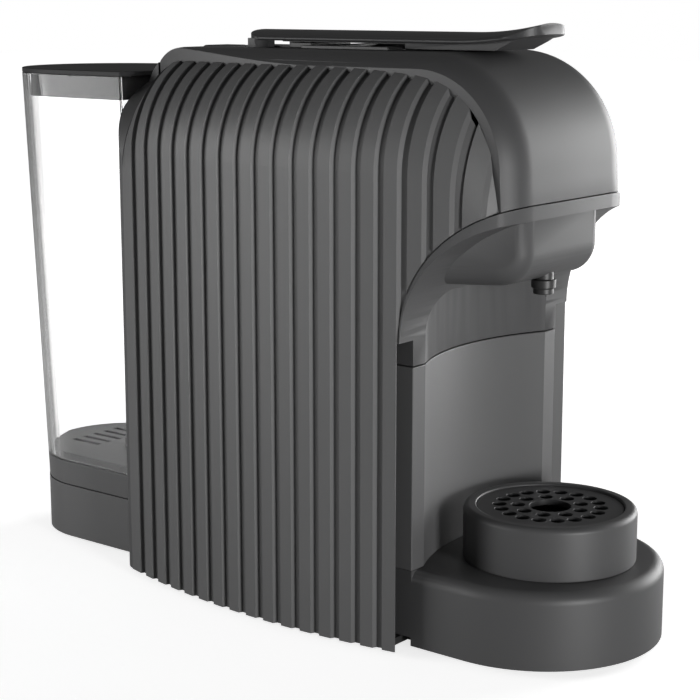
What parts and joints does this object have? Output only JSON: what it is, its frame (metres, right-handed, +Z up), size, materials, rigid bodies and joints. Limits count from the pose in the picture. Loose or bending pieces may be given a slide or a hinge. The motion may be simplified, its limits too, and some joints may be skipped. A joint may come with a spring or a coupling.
{
  "type": "pod coffee machine",
  "caption": "Compact countertop pod coffee machine: ribbed side shells, lever-driven brewing group, raised round cup stand on a pull-out drip tray and pod bin, and a clear lift-off water tank.",
  "frame": {"origin": "on the surface it stands on, under the middle of the machine's overall length and width", "axes": "+Z up, the cup and spout at the front towards -Y, the tank at the back towards +Y, +X to the right as seen from the front"},
  "size_m": [0.1348, 0.3399, 0.2514],
  "materials": {
    "shell": "satin",
    "cover": "satin",
    "head": "satin",
    "column": "satin",
    "tray": "satin",
    "grid": "satin",
    "lever": "satin",
    "dark_trim": "satin",
    "clear_tank": "clear",
    "inner_plastic": "plain",
    "rubber": "plain",
    "hose": "plain",
    "steel": "satin",
    "pump_coil": "satin",
    "heater": "cast",
    "board": "plain"
  },
  "bodies": {
    "machine": {"left_side_panel": "shell", "right_side_panel": "shell", "top_cover": "cover", "rear_cover": "cover", "brew_head_shroud": "head", "spout_nozzle": "head", "lever_rest": "dark_trim", "tank_seat": "dark_trim", "pod_bezel": "dark_trim", "cord_gland": "dark_trim", "base_plate": "inner_plastic", "main_frame": "inner_plastic", "pod_chute": "inner_plastic", "coffee_funnel": "inner_plastic", "brew_frame": "inner_plastic", "lever_bracket": "inner_plastic", "button_switch": "inner_plastic", "inlet_socket": "inner_plastic", "flow_meter": "inner_plastic", "rubber_feet": "rubber", "pump_mounts": "rubber", "inlet_seal": "rubber", "suction_hose": "hose", "feed_hose": "hose", "pressure_hose": "hose", "lever_pivot_pin": "steel", "guide_rails": "steel", "base_screws": "steel", "button_spring": "steel", "brew_tube": "steel", "injector": "steel", "thermostat": "steel", "pump": "pump_coil", "thermoblock": "heater", "control_board": "board"},
    "lever": {"lever_handle": "lever", "drive_pin": "steel"},
    "carriage": {"brew_carriage": "inner_plastic", "brew_cup": "heater"},
    "button": {"brew_button": "dark_trim"},
    "drawer": {"drip_tray": "tray", "column_front": "column", "capsule_bin": "inner_plastic"},
    "stand": {"cup_stand": "tray", "cup_grid": "grid"},
    "tank": {"water_tank": "clear_tank", "tank_base": "dark_trim", "tank_insert": "dark_trim"},
    "lid": {"tank_lid": "dark_trim"},
    "valve": {"valve_poppet": "inner_plastic"}
  },
  "joints": [
    {"name": "lever_hinge", "type": "hinge", "parent": "machine", "child": "lever", "pos_m": [0, 0.02, 0.232], "axis": [-1, 0, 0], "range_deg": [0, 70]},
    {"name": "carriage_slide", "type": "slide", "parent": "machine", "child": "carriage", "axis": [0, -1, 0], "range_m": [0, 0.02985]},
    {"name": "button_press", "type": "slide", "parent": "machine", "child": "button", "axis": [0, 0, -1], "range_m": [0, 0.002], "stiffness_N_per_m": 500, "springref_m": -0.001, "deforming": ["button_spring"]},
    {"name": "drawer_slide", "type": "slide", "parent": "machine", "child": "drawer", "axis": [0, -1, 0], "range_m": [0, 0.15]},
    {"name": "stand_lift", "type": "slide", "parent": "drawer", "child": "stand", "axis": [0, 0, 1], "range_m": [0, 0.04]},
    {"name": "tank_lift", "type": "slide", "parent": "machine", "child": "tank", "axis": [0, 0, 1], "range_m": [0, 0.06]},
    {"name": "lid_lift", "type": "slide", "parent": "tank", "child": "lid", "axis": [0, 0, 1], "range_m": [0, 0.04]},
    {"name": "valve_lift", "type": "slide", "parent": "tank", "child": "valve", "axis": [0, 0, 1], "range_m": [0, 0.002]}
  ],
  "couplings": [
    {"joint": "carriage_slide", "follows": "lever_hinge", "m_per_rad": 0.024416}
  ]
}
